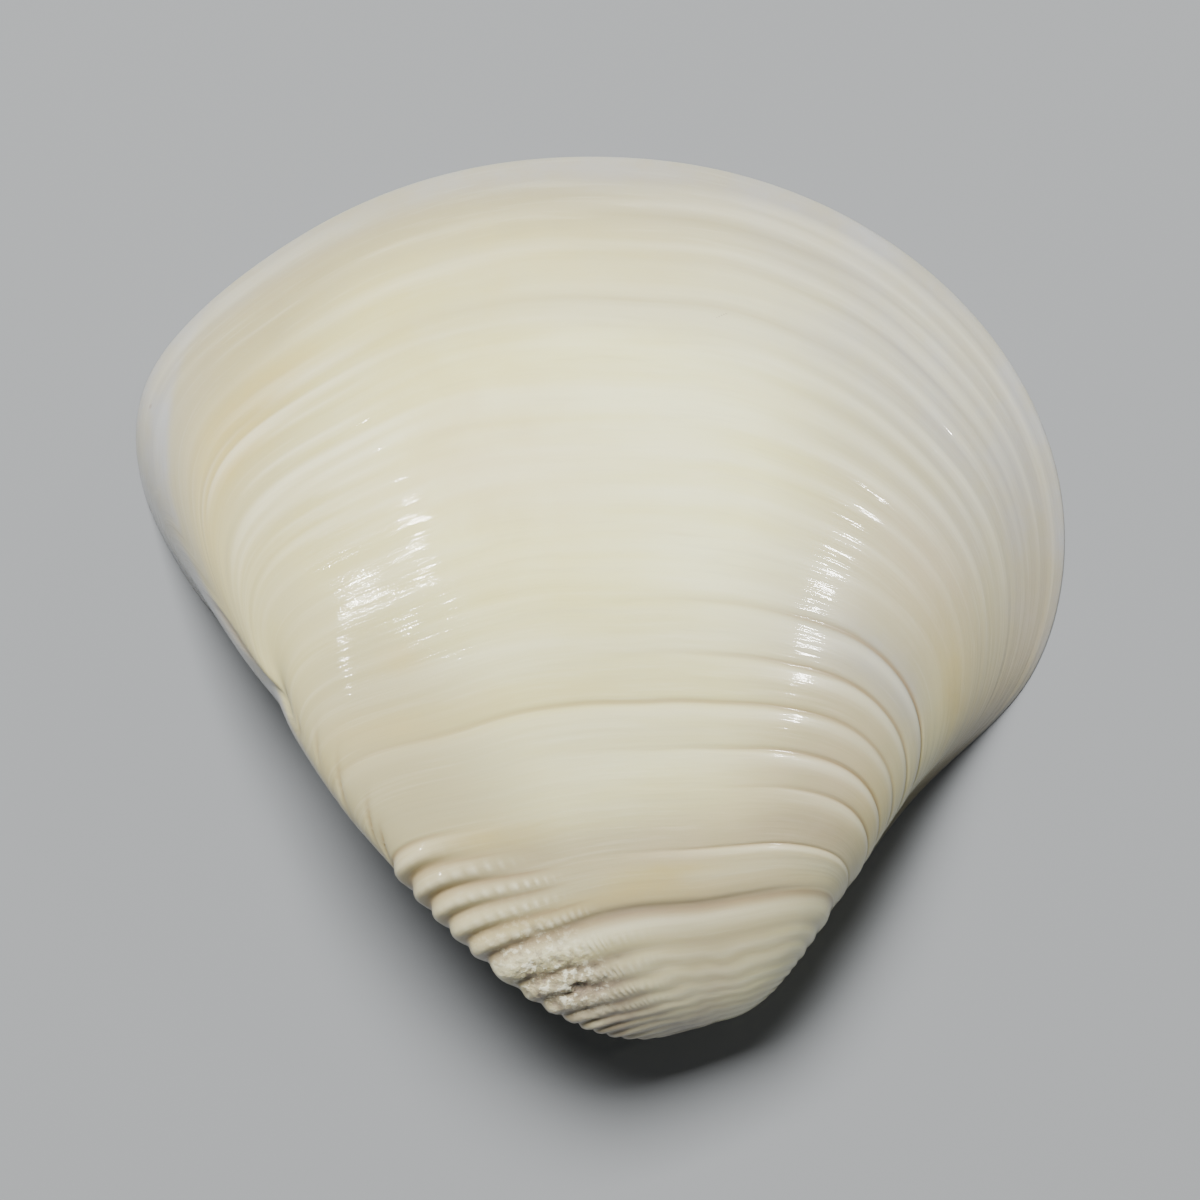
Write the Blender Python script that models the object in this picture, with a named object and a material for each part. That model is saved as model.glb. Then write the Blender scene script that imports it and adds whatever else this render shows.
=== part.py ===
# One valve of a pointed venus clam, lying on its rim with the hollow side down.
# Metres, +Z up. +X runs to the front end of the shell, +Y to its open lower edge,
# and the beak is at -Y. The origin is on the rim plane, under the middle of the box.
#
# The outside is made as the animal makes it: each growth stage is the rim outline,
# made smaller towards the beak and swung up about the hinge line.
import math

import bmesh
import bpy
import numpy as np

MM = 0.001

# Where the rim's middle lies from the origin, and the beak's tip, in millimetres.
RIM_MIDDLE = (0.384, 1.336)
BEAK_TIP = (4.009, -13.804, 1.5)
BEAK_SHIFT = (-0.8, 0.9)       # millimetres along Y and Z, added to the oldest stages to fill the beak
BEAK_SHIFT_POWER = 8           # how late that shift sets in

# The rim outline: direction from the rim's middle in degrees, and distance in millimetres.
RIM_OUTLINE = (
    (-172, 13.98), (-166, 12.95), (-159, 12.45), (-148.5, 12.18), (-136.5, 12.10),   # back edge, by the escutcheon
    (-124, 12.23), (-113, 12.68), (-103, 13.44), (-94.5, 14.34), (-86.5, 15.23),     # ligament side of the beak
    (-80, 15.80), (-74, 15.60), (-67, 15.15), (-58, 14.40), (-48, 13.65),            # under the beak, and the lunule
    (-38, 13.45), (-28, 14.00), (-18, 14.95), (-6, 15.55), (10, 15.70),              # front end
    (28, 15.25), (50, 14.45), (72, 13.90), (94, 13.85), (112, 14.35),                # lower edge
    (128, 15.10), (142, 16.00), (152, 16.80), (160, 17.20), (167, 16.90),            # pointed back end
    (174, 16.10), (181, 15.05),
)

# Growth: age is 0 at the rim and rises towards the beak, and size is exp(-age).
SWING_RATE = 1.414         # radians of swing for each unit of age at the rim
SWING_SLOWING = 0.272      # how fast that rate falls
DOMING = 0.85              # height of the dome against a true swing
SLANT = -0.113             # lean of the swung stages along the hinge line
HINGE_TILT = 13.4          # degrees, hinge line against +X
HINGE_TILT_CHANGE = -3.1   # degrees, added in the youngest stages
OLDEST_AGE = 3.1           # where the beak is closed

# How the young outline differs: direction, amount in millimetres, spread on each side in degrees.
YOUNG_POINT = (167.5, 9.1, 10, 12)      # the back was more pointed, which makes the long keel
YOUNG_LOWER_EDGE = (83, -9.0, 58, 58)

# Growth steps: age, height in millimetres, direction of the middle of the step, and its spread.
GROWTH_STEPS = (
    (0.140, 0.10, 60, 120), (0.471, 0.13, 15, 50), (0.537, 0.13, 40, 60), (0.610, 0.30, 90, 130),
    (0.685, 0.24, 15, 45), (0.753, 0.22, 5, 36), (0.875, 0.22, 45, 50), (1.031, 0.30, 60, 110),
)
STEP_WIDTH = 0.016         # ages, half the groove
LIP_BEHIND = 0.030         # ages from a groove back to the raised lip on its older side, towards the beak
LIP_SPREAD = 1.5           # width of that lip against the groove's
LIP_SHARE = 0.6            # height of that lip against the groove's depth
RIM_FADE = 0.05            # ages over which all relief sets in from the rim

# The keel's waist and swelling: direction, its spread, age, its spread, and height in millimetres.
KEEL_SHAPES = ((168, 6, 0.375, 0.040, -0.30), (168, 7, 0.60, 0.090, 0.14))

# Ribs of the young shell: the age of rib number n is
# FIRST_RIB_AGE + RIB_GAP * n + RIB_SPREAD * n * n.
FIRST_RIB_AGE = 0.80
RIB_GAP = 0.055
RIB_SPREAD = 0.0030
RIB_HEIGHT = 0.24          # millimetres, at the first rib
RIB_LOWERING = 0.45        # how fast the ribs get lower with age
KEEL_RIBS = 4.5            # up to this number the ribs stand on the keel alone
LAST_RIB = 15
KEEL_RIB_PLACE = (164, 11)      # direction and spread in degrees
ROUND_RIB_PLACE = (110, 120)

# The flat rim, the hinge plate and the hollow.
RIM_WIDTH = 1.2            # millimetres, round the open edge
PLATE_WIDTH = 3.4          # millimetres, at the hinge
PLATE_PLACE = (-84, 30)    # direction of its middle, and its spread, in degrees
PLATE_RECESS = 0.6         # millimetres, how far the plate lies above the rim plane
LIP_WIDTH = 0.9            # millimetres, the flat ring that the valve rests on
STEP_SHARE = 0.42          # share of the plate taken up by the slope from the lip
HOLLOW_TIP = (3.3, -11.53, 4.0)     # millimetres, where the hollow ends under the beak
HOLLOW_DOMING = 0.60       # height of the hollow against a true swing
HOLLOW_LIKENESS = 0.7      # share of the young outline's difference that the hollow follows
EDGE_THICKENING = (0.30, 0.35)      # share of the hollow's height filled at the rim, and its reach in ages
HOLLOW_AGES = (0.0, 0.06, 0.14, 0.23, 0.33, 0.45, 0.58, 0.73, 0.90, 1.10, 1.35, 1.7)

# Hinge teeth, fanned out from under the beak: distance from the beak's tip to the middle,
# direction in degrees, length and width.
TEETH = (
    (2.4, 62, 1.6, 0.55),
    (2.1, 92, 1.9, 0.75),
    (2.3, 136, 2.7, 0.50),
)
TOOTH_ROOT = 0.78          # height of the root, inside the plate
TOOTH_CREST = 0.06         # height of the crest over the rim plane
TOOTH_TAPER = 0.6          # width of the crest against the root

SHELL_COLOUR = (0.76, 0.73, 0.63, 1.0)
SHARP_ANGLE = 36           # degrees, edges bent further than this stay crisp


def closed_spline(knots, values, where, period=360.0):
    """Smooth closed curve through values at knots in degrees, by solving for its bend at each knot."""
    count = len(knots)
    gaps = np.diff(np.append(knots, knots[0] + period))
    slopes = np.diff(np.append(values, values[0])) / gaps
    system = np.zeros((count, count))
    for i in range(count):
        system[i, i - 1] += gaps[i - 1]
        system[i, i] += 2 * (gaps[i - 1] + gaps[i])
        system[i, (i + 1) % count] += gaps[i]
    bends = np.linalg.solve(system, 6 * (slopes - np.roll(slopes, 1)))
    place = (where - knots[0]) % period + knots[0]
    i = np.clip(np.searchsorted(knots, place, side="right") - 1, 0, count - 1)
    j = (i + 1) % count
    after = place - knots[i]
    before = gaps[i] - after
    curve = (bends[i] * before ** 3 + bends[j] * after ** 3) / (6 * gaps[i])
    line = (values[i] / gaps[i] - bends[i] * gaps[i] / 6) * before
    return curve + line + (values[j] / gaps[i] - bends[j] * gaps[i] / 6) * after


def swell(direction, middle, spread, spread_after=None):
    """Bell curve round a direction, with its own spread on each side."""
    away = (direction - middle + 180) % 360 - 180
    width = np.where(away > 0, spread if spread_after is None else spread_after, spread)
    return np.exp(-0.5 * (away / width) ** 2)


def rim_radius(direction):
    knots = np.array(RIM_OUTLINE, dtype=float)
    return closed_spline(knots[:, 0], knots[:, 1], direction)


def swing_angle(age):
    """Swing of a growth stage about the hinge line, which stops growing at its peak."""
    peak = SWING_RATE / (2 * SWING_SLOWING)
    held = np.minimum(age, peak)
    return SWING_RATE * held - SWING_SLOWING * held ** 2


def grow(outline_x, outline_y, age, tip, doming):
    """Outline points of one age: shrunk towards the tip and swung about the hinge line through it."""
    size = np.exp(-age)
    tilt = np.radians(HINGE_TILT + HINGE_TILT_CHANGE * (1 - size))
    along = (outline_x - tip[0]) * np.cos(tilt) + (outline_y - tip[1]) * np.sin(tilt)
    across = (outline_y - tip[1]) * np.cos(tilt) - (outline_x - tip[0]) * np.sin(tilt)
    angle = swing_angle(age)
    u = size * (along + SLANT * np.sin(angle) * across)
    v = size * (across * np.cos(angle) + tip[2] * np.sin(angle))
    z = tip[2] + size * (doming * across * np.sin(angle) - tip[2] * np.cos(angle))
    x = tip[0] + u * np.cos(tilt) - v * np.sin(tilt)
    y = tip[1] + u * np.sin(tilt) + v * np.cos(tilt)
    return np.stack([x, y, z], axis=-1)


def outline(direction, age, inset, likeness):
    """Points of the outline at an age, moved inwards, with a share of the young outline's difference."""
    radius = rim_radius(direction) - inset
    for middle, amount, spread, spread_after in (YOUNG_POINT, YOUNG_LOWER_EDGE):
        difference = amount * swell(direction, middle, spread, spread_after)
        radius = radius + likeness * (1 - np.exp(-age)) * difference
    turn = np.radians(direction)
    return RIM_MIDDLE[0] + radius * np.cos(turn), RIM_MIDDLE[1] + radius * np.sin(turn)


def smooth_outside(direction, age):
    """The outside without its relief, for arrays of direction and age."""
    x, y = outline(direction, age, 0, 1)
    place = grow(x, y, age, BEAK_TIP, DOMING)
    young = 1 - np.exp(-age)
    place[..., 1:] += (young ** BEAK_SHIFT_POWER)[..., None] * np.array(BEAK_SHIFT)
    return place


def rib_number(age):
    """Number of the rib at an age, whole on a crest."""
    square = RIB_GAP ** 2 + 4 * RIB_SPREAD * (age - FIRST_RIB_AGE)
    return (np.sqrt(np.maximum(square, 0)) - RIB_GAP) / (2 * RIB_SPREAD)


def rib_age(number):
    """Age of the rib of a given number."""
    return FIRST_RIB_AGE + RIB_GAP * number + RIB_SPREAD * number ** 2


def relief(direction, age):
    """Height of the growth steps, the waist of the keel and the ribs over the smooth outside, in millimetres."""
    height = np.zeros_like(direction)
    for step_age, step_height, middle, spread in GROWTH_STEPS:
        groove = np.exp(-0.5 * ((age - step_age) / STEP_WIDTH) ** 2)
        lip = np.exp(-0.5 * ((age - step_age - LIP_BEHIND) / (LIP_SPREAD * STEP_WIDTH)) ** 2)
        height += step_height * swell(direction, middle, spread) * (LIP_SHARE * lip - groove)
    for middle, spread, shape_age, age_spread, shape_height in KEEL_SHAPES:
        across = np.exp(-0.5 * ((age - shape_age) / age_spread) ** 2)
        height += shape_height * swell(direction, middle, spread) * across
    number = rib_number(age)
    ribbed = (number > -0.5) & (number < LAST_RIB + 0.5)
    crest = 0.5 + 0.5 * np.cos(2 * math.pi * number)
    on_keel = swell(direction, *KEEL_RIB_PLACE)
    all_round = swell(direction, *ROUND_RIB_PLACE)
    place = np.where(number < KEEL_RIBS, on_keel, all_round)
    full_height = RIB_HEIGHT * np.exp(-RIB_LOWERING * (age - FIRST_RIB_AGE))
    height += np.where(ribbed, full_height * crest * place, 0)
    return height


def outside_ages():
    """Ages of the rings: evenly spread, with a crest and a foot at each step and rib."""
    upper = [0.0, 0.05, 0.10, 0.14, 0.17, 0.23, 0.30, 0.37, 0.435, 0.471, 0.501, 0.537, 0.567, 0.59,
             0.61, 0.64, 0.66, 0.685, 0.715, 0.735, 0.753]
    ribs = [rib_age(number / 2) for number in range(-1, 2 * LAST_RIB + 2)]
    return np.array(upper + ribs + [2.70, OLDEST_AGE])


def column_directions():
    """Directions of the columns, closer together at the hinge and at the pointed back end."""
    close = np.arange(-104, -56, 4)
    front = np.arange(-56, 148, 6)
    back = np.arange(148, 188, 4)
    hidden = np.arange(188, 256, 6.2)
    return np.concatenate([close, front, back, hidden]).astype(float)


def outside_rings(directions):
    """The outside, ring by ring from the rim to the beak, with its relief along the surface's own normal."""
    age, direction = np.meshgrid(outside_ages(), directions, indexing="ij")
    place = smooth_outside(direction, age)
    small = 1e-4      # degrees or ages, for the slopes of the surface
    along = smooth_outside(direction + small, age) - smooth_outside(direction - small, age)
    inward = smooth_outside(direction, age + small) - smooth_outside(direction, age - small)
    normal = np.cross(along, inward)
    length = np.maximum(np.linalg.norm(normal, axis=-1, keepdims=True), 1e-12)
    fade = np.clip(age / RIM_FADE, 0, 1)
    return place + normal / length * (relief(direction, age) * fade)[..., None]


def under_beak(direction):
    """One over the hinge plate, falling to nothing along the open edge."""
    return swell(direction, *PLATE_PLACE)


def underside_rings(directions):
    """Flat lip, hinge plate and hollow, ring by ring from the rim to the hollow's tip."""
    plate = under_beak(directions)
    depth = PLATE_RECESS * plate
    width = RIM_WIDTH + (PLATE_WIDTH - RIM_WIDTH) * plate
    lip_x, lip_y = outline(directions, 0, LIP_WIDTH, 0)
    rings = [np.stack([lip_x, lip_y, np.zeros_like(lip_x)], axis=-1)]
    step_x, step_y = outline(directions, 0, LIP_WIDTH + STEP_SHARE * (width - LIP_WIDTH), 0)
    rings.append(np.stack([step_x, step_y, depth], axis=-1))
    for age in HOLLOW_AGES:
        edge_x, edge_y = outline(directions, age, width, HOLLOW_LIKENESS)
        ring = grow(edge_x, edge_y, np.full_like(edge_x, age), HOLLOW_TIP, HOLLOW_DOMING)
        ring[:, 2] *= 1 - EDGE_THICKENING[0] * math.exp(-age / EDGE_THICKENING[1])
        ring[:, 2] += depth * math.exp(-age)
        rings.append(ring)
    return np.array(rings)


def add_ring(mesh, points):
    return [mesh.verts.new(point) for point in points]


def join_rings(mesh, first, second):
    """A band of faces between two rings of the same count."""
    count = len(first)
    for i in range(count):
        j = (i + 1) % count
        mesh.faces.new((first[i], first[j], second[j], second[i]))


def close_ring(mesh, ring, tip):
    count = len(ring)
    for i in range(count):
        mesh.faces.new((ring[i], ring[(i + 1) % count], tip))


def shell_mesh():
    """The valve as one closed skin: beak, outside, rim, hinge plate and hollow."""
    directions = column_directions()
    outside = outside_rings(directions) * MM
    underside = underside_rings(directions) * MM
    mesh = bmesh.new()
    rings = [add_ring(mesh, ring) for ring in outside[::-1]]
    rings += [add_ring(mesh, ring) for ring in underside]
    beak = mesh.verts.new(outside[-1].mean(axis=0))
    hollow_end = mesh.verts.new(underside[-1].mean(axis=0))
    close_ring(mesh, rings[0][::-1], beak)
    for first, second in zip(rings, rings[1:]):
        join_rings(mesh, first, second)
    close_ring(mesh, rings[-1], hollow_end)
    bmesh.ops.recalc_face_normals(mesh, faces=mesh.faces)
    return mesh


def tooth_mesh(distance, direction, length, width):
    """A low wedge with a narrower crest, which hangs down from the hinge plate."""
    turn = math.radians(direction)
    middle = (BEAK_TIP[0] + distance * math.cos(turn), BEAK_TIP[1] + distance * math.sin(turn))
    mesh = bmesh.new()
    rings = []
    for height, share in ((TOOTH_CREST, TOOTH_TAPER), (TOOTH_ROOT, 1.0)):
        ring = []
        for end, side in ((-1, -1), (1, -1), (1, 1), (-1, 1)):
            along = end * length / 2 * (0.8 + 0.2 * share)      # the crest is a little shorter too
            across = side * width / 2 * share
            x = middle[0] + along * math.cos(turn) - across * math.sin(turn)
            y = middle[1] + along * math.sin(turn) + across * math.cos(turn)
            ring.append(mesh.verts.new((x * MM, y * MM, height * MM)))
        rings.append(ring)
    mesh.faces.new(rings[0])
    mesh.faces.new(rings[1][::-1])
    join_rings(mesh, rings[0], rings[1])
    bmesh.ops.recalc_face_normals(mesh, faces=mesh.faces)
    return mesh


def shell_material():
    material = bpy.data.materials.new("shell")
    material.use_nodes = True
    surface = material.node_tree.nodes["Principled BSDF"]
    surface.inputs["Base Color"].default_value = SHELL_COLOUR
    surface.inputs["Roughness"].default_value = 0.32
    surface.inputs["Metallic"].default_value = 0.0
    return material


def add_object(name, mesh, material):
    data = bpy.data.meshes.new(name)
    mesh.to_mesh(data)
    mesh.free()
    data.materials.append(material)
    made = bpy.data.objects.new(name, data)
    bpy.context.collection.objects.link(made)
    return made


def build():
    for old in list(bpy.data.objects):
        bpy.data.objects.remove(old, do_unlink=True)
    material = shell_material()
    valve = add_object("left_valve", shell_mesh(), material)
    for number, tooth in enumerate(TEETH, 1):
        part = add_object(f"tooth_form_{number}", tooth_mesh(*tooth), material)
        part.hide_render = True
        part.display_type = "WIRE"
        union = valve.modifiers.new(f"tooth {number}", "BOOLEAN")
        union.operation = "UNION"
        union.solver = "EXACT"
        union.object = part
    valve.data.shade_smooth()
    valve.data.set_sharp_from_angle(angle=math.radians(SHARP_ANGLE))


build()
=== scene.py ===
import math

import bpy
import numpy as np
from mathutils import Matrix, Vector


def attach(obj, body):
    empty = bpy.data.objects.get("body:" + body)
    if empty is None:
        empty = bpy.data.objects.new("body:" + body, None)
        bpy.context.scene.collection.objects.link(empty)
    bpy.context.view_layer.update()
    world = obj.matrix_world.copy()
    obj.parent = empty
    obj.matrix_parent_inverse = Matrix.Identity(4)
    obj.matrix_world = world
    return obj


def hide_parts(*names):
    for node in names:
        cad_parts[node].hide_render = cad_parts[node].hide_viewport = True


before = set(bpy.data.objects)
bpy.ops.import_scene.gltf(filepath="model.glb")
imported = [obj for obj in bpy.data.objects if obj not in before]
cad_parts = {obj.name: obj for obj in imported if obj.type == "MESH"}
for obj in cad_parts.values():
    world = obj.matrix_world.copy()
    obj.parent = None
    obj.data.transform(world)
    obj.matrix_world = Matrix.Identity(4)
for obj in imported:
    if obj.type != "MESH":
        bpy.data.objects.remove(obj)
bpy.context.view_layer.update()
print("frame loaded")

mm = 0.001

# The valve as it grew. Lengths are millimetres, directions are degrees round the rim's middle,
# and an age is 0 at the rim and rises towards the beak: a stage's size is exp(-age).
valveShape = {
    "rimMiddle": (0.384, 1.336),
    "beakTip": (4.009, -13.804, 1.5),
    "beakShift": (-0.8, 0.9),  # along Y and Z, added to the oldest stages
    "beakShiftPower": 8,
    "rimOutline": (  # direction and distance
        (-172, 13.98), (-166, 12.95), (-159, 12.45), (-148.5, 12.18), (-136.5, 12.10),  # escutcheon
        (-124, 12.23), (-113, 12.68), (-103, 13.44), (-94.5, 14.34), (-86.5, 15.23),  # ligament side
        (-80, 15.80), (-74, 15.60), (-67, 15.15), (-58, 14.40), (-48, 13.65),  # beak and lunule
        (-38, 13.45), (-28, 14.00), (-18, 14.95), (-6, 15.55), (10, 15.70),  # front end
        (28, 15.25), (50, 14.45), (72, 13.90), (94, 13.85), (112, 14.35),  # lower edge
        (128, 15.10), (142, 16.00), (152, 16.80), (160, 17.20), (167, 16.90),  # pointed back end
        (174, 16.10), (181, 15.05),
    ),
    "swingRate": 1.414,
    "swingSlowing": 0.272,
    "doming": 0.85,
    "slant": -0.113,
    "hingeTilt": 13.4,
    "hingeTiltChange": -3.1,
    "oldestAge": 3.6,
    "youngPoint": (167.5, 9.1, 10, 12),  # direction, millimetres, spread on each side
    "youngLowerEdge": (83, -9.0, 58, 58),
}

# The lines run a little younger towards the front end, and the ribs do so away from the keel.
lineDrift = {
    "front": (-8, 30, 0.045, 0.45),  # direction, spread, ages, and the age where it is full
    "back": (167, 5, 3, 0.164),  # direction, reach on each side, and ages
    "backAges": (0.09, 0.12, 0.62),  # full from the first age, and gone between the other two
    "ribsAge": (0.86, 1.10),
    "ribsDrift": 0.050,
    "ribsFrontDrift": 0.045,
    "keel": (166, 13),
    "wobble": 0.0022,
    "waves": ((3, 1.3, 2.5, 1.0), (7, 4.1, -5, 0.7), (13, 0, 9, 0.4)),  # turns, phase, change, share
}

# Growth halts: age, depth of the groove, height of the older lip, direction, its spreads, and tint, which
# also sets the painted highlight on the lip.
growthSteps = (
    (0.139, 0.030, 0.035, 75, 36, 55, 0.20),
    (0.464, 0.085, 0.085, 6, 34, 34, 1.00),
    (0.535, 0.075, 0.080, 22, 46, 34, 0.85),
    (0.606, 0.060, 0.085, 80, 120, 50, 0.70),
    (0.682, 0.085, 0.100, 6, 38, 44, 0.95),
    (0.755, 0.080, 0.100, 0, 34, 26, 0.95),
    (0.889, 0.060, 0.085, 40, 50, 34, 0.60),
)

# The halts' profile: lengths are counted in its width, which is an age, and the rest are shares.
stepProfile = {
    "width": 0.0080,
    "start": 0.4, "shoulder": 1.7, "level": 4, "reach": 10.0, "sink": 0.10,  # the lip's rise and fall
    "grooveShare": 0.7, "grooveWidth": 0.40,
    # The lit band is a painted highlight on the lip's rise: its place and its share of the crest.
    "tintWidth": 0.36, "litPlace": 2.0, "litShare": 0.9,
}

# Broad ridges along the front margin: age, height, width, and the share of the height at the front end.
frontRidges = (
    (0.012, 0.022, 0.0036, 0.3), (0.028, 0.036, 0.0042, 0.5), (0.046, 0.032, 0.0042, 0.0),
    (0.064, 0.036, 0.0046, 0.4), (0.084, 0.042, 0.0050, 0.0), (0.104, 0.030, 0.0042, 0.5),
    (0.123, 0.036, 0.0050, 0.0), (0.160, 0.033, 0.0056, 0.5), (0.186, 0.024, 0.0050, 0.0),
    (0.214, 0.038, 0.0056, 0.4), (0.252, 0.040, 0.0060, 0.0), (0.290, 0.024, 0.0056, 0.4),
    (0.335, 0.020, 0.0056, 0.0), (0.385, 0.020, 0.0056, 0.3),
)
frontStretch = {"place": (8, 34, 46), "end": (4, 38)}  # direction and spreads, and where the share ends

# Single ridges and furrows behind the keel: age, direction, its spread, height and width.
backRidges = (
    (0.137, 140, 6, 0.036, 0.0026), (0.156, 159, 4, 0.006, 0.0028), (0.157, 140, 6, 0.026, 0.0028),
    (0.141, 153, 5, -0.030, 0.0034), (0.115, 148, 5, -0.030, 0.0034), (0.204, 145, 9, 0.045, 0.0028),
    (0.226, 143, 8, 0.040, 0.0028), (0.256, 147, 7, 0.025, 0.0026), (0.281, 140, 8, 0.038, 0.0028),
    (0.303, 138, 8, 0.030, 0.0028),
)

# Fine growth lines, drawn at random: count, and the ranges of age, direction, spread, height and width.
fineLineSets = (
    (90, (0.005, 0.30), (-30, 80), (10, 30), (-0.012, 0.014), (0.0024, 0.0045)),
    (110, (0.005, 0.33), (60, 165), (8, 24), (-0.012, 0.013), (0.0024, 0.0045)),
    (26, (0.11, 0.33), (132, 158), (4, 9), (0.010, 0.030), (0.0024, 0.0032)),
    (14, (0.14, 0.30), (150, 166), (4, 8), (-0.030, -0.010), (0.0030, 0.0050)),
    (80, (0.30, 0.62), (20, 150), (8, 22), (-0.009, 0.010), (0.0028, 0.0050)),
    (40, (0.62, 1.05), (0, 150), (10, 25), (-0.006, 0.006), (0.0035, 0.0060)),
    (34, (0.31, 0.48), (128, 152), (7, 14), (-0.012, 0.014), (0.0048, 0.0075)),
)

# Ribs of the young shell. Rib n lies between grooves n and n + 1 of the list, which gives their ages.
ribs = {
    "grooves": (0.770, 0.830, 0.892, 0.954, 1.024, 1.100, 1.240, 1.350, 1.470, 1.575, 1.670, 1.770, 1.900,
                2.050, 2.240, 2.480),
    "height": 0.15,
    "knobHeight": 0.17,
    "worn": 0.24,  # height of the older ribs away from the keel, against full
    "fresh": (150, 20),  # direction and spread where they are full
    "freshFront": (-6, 12, 0.8),  # the same at the front, and how high they are there
    "freshFirst": (166, 7, 0.55),  # the same for the first ribs, and what they fall to
    "uneven": (0.9, 1.0, 0.95, 0.9, 0.8, 1.3, 0.9, 1.1, 0.7, 0.9, 0.5, 0.9, 0.7, 0.7, 0.5),
    "knob": (164.5, 4.6, 3.4),
    "steepShare": 0.26,  # share of a rib taken by its steep side, towards the rim
    "ends": (157.5, 152.0, 144.0, 147.0, 139.0),  # direction where each of the first ribs fades
    "fade": 2.2,
    "olderFade": 14,
    "firstLast": 4.5,  # the first ribs have numbers below this
    "widest": (110, 80, 50),  # direction and spreads of the deep groove over rib five
    "widestNumber": 4.44,
    "widestDepth": 0.10,
    "beads": (147, 13, 8),  # direction and its spreads
    "beadPitch": 2.3,  # degrees
    "beadHeight": 0.042,
}

# The eroded patch: small pits drawn at random, and one larger hole.
erosion = {
    "patch": (158, 8, 6, 1.27, 0.12),  # direction, its spreads, age, its spread
    "pits": 150,
    "pitAges": (1.25, 0.11),  # middle and spread
    "pitDirections": (157, 6.0),
    "pitSizes": (0.05, 0.09),
    "pitDepths": (0.02, 0.06),
    "deepest": 0.10,
    "hole": (153.5, 0.095, 1.33, 8),  # direction, mm per degree, age, mm per age
    "holeSize": 0.11,
    "holeDepth": 0.20,
    "fullDepth": 0.14,  # the depth that colours a pit fully
}

# The keel's waist and swelling: direction, its spread, age, its spread, and height.
keelShapes = ((168, 6, 0.375, 0.040, -0.30), (168, 7, 0.60, 0.090, 0.14))

# The fold line between the keel and the escutcheon, with a painted shadow line along it.
keelFold = {"direction": 169.2, "lean": 6, "from": 0.2, "width": 0.8, "depth": 0.08, "tint": 0.6,
            "starts": (0.17, 0.22), "ends": (0.28, 0.36)}

# Short slanting cracks at the keel: age, direction, its spread, depth, and ages per degree of slant.
cracks = (
    (0.545, 165.5, 1.6, 0.060, 0.010), (0.622, 166.0, 2.0, 0.100, 0.012),
    (0.700, 165.5, 1.8, 0.110, 0.012), (0.745, 166.5, 1.5, 0.120, 0.010),
    (0.480, 167.5, 1.6, 0.050, 0.008),
)
crackWidth = 0.0045
crackTint = 6.0

# Soft patches of colour on the outside: direction, its spread, age, its spread, and strength.
stains = {
    "tan": (
        (156.5, 4.5, 0.150, 0.028, 0.85), (151.5, 5, 0.138, 0.022, 0.85), (144, 5, 0.120, 0.012, 0.45),
        (132, 24, 0.25, 0.16, 0.20),
        (147.5, 2.5, 0.485, 0.014, 0.85),  # the small stain by itself
        (154, 10, 0.575, 0.026, 0.40), (125, 16, 0.59, 0.020, 0.35), (149, 8, 0.805, 0.022, 0.80),
        (107, 12, 0.985, 0.034, 1.20), (84, 16, 0.950, 0.020, 0.60), (108, 36, 1.045, 0.026, 0.80),
        (0, 6, 0.335, 0.030, 0.80), (-10, 8, 0.30, 0.030, 0.60), (-22, 8, 0.18, 0.05, 0.60),
        (-6, 9, 0.62, 0.12, 0.30), (5, 8, 0.72, 0.05, 0.40),
    ),
    "blue": (
        (166, 8, 0.03, 0.05, 0.5),  # the pointed back end
        (28, 26, 0.08, 0.10, 0.85), (20, 16, 0.480, 0.036, 0.80), (80, 30, 0.03, 0.02, 0.2),
    ),
    "pink": (
        (118, 12, 0.29, 0.05, 0.55), (14, 17, 0.29, 0.06, 0.65), (95, 30, 0.10, 0.03, 0.30),
        (60, 20, 0.80, 0.06, 0.30), (100, 60, 1.60, 0.35, 0.55), (15, 22, 0.60, 0.16, 0.40),
        (95, 40, 0.90, 0.05, 0.35), (115, 60, 2.15, 0.40, 0.80), (-16, 16, 0.05, 0.09, 0.75),
        (50, 50, 1.15, 0.25, 0.45), (20, 30, 0.75, 0.10, 0.35),
    ),
    "straw": (
        (126, 20, 0.13, 0.05, 0.70), (128, 22, 0.34, 0.10, 0.80), (100, 16, 0.10, 0.03, 0.35),
        (0, 8, 0.34, 0.04, 0.30), (-9, 9, 0.48, 0.14, 0.80), (3, 8, 0.74, 0.08, 0.50),
    ),
    # Painted shade and painted light: the dull rows darken the colour where shade falls, and the negative
    # ones are painted light, paler than the rest.
    "dullAndPaintedShade": (  # the negative ones are paler than the rest
        (95, 34, 0.31, 0.11, -0.80), (95, 34, 0.150, 0.016, 0.30), (62, 40, 0.965, 0.03, -0.30),
        (62, 44, 1.24, 0.09, 0.35), (0, 22, 1.25, 0.40, -0.55), (88, 22, 0.72, 0.03, -0.25),
    ),
    # Painted light: a paler band across the middle, where the broad sheen falls.
    "crest": ((100, 24, 0.31, 0.045, 0.5),),  # the palest band
}

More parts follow.
